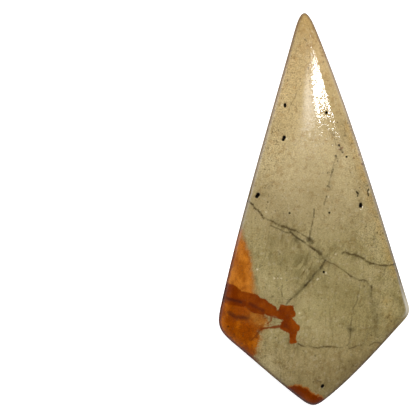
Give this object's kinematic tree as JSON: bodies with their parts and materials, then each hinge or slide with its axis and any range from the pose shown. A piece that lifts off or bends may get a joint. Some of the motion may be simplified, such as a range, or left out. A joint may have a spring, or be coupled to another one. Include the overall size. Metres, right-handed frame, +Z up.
{
  "type": "polygram jasper cabochon",
  "caption": "Kite-shaped polished jasper cabochon with a low dome and a flat back, for setting in jewellery or laying on a surface.",
  "frame": {"origin": "middle of the stone's length and width, on its flat back", "axes": "+Z up out of the dome, +Y towards the narrow point, +X to the right as seen from above with the point up"},
  "size_m": [0.019, 0.0392, 0.0041],
  "materials": {
    "jasper": "polished dome over a ground edge and a sawn back, tan and olive with orange and red-brown bands and dark healed cracks"
  },
  "bodies": {
    "root": {"cabochon": "jasper"}
  },
  "joints": []
}
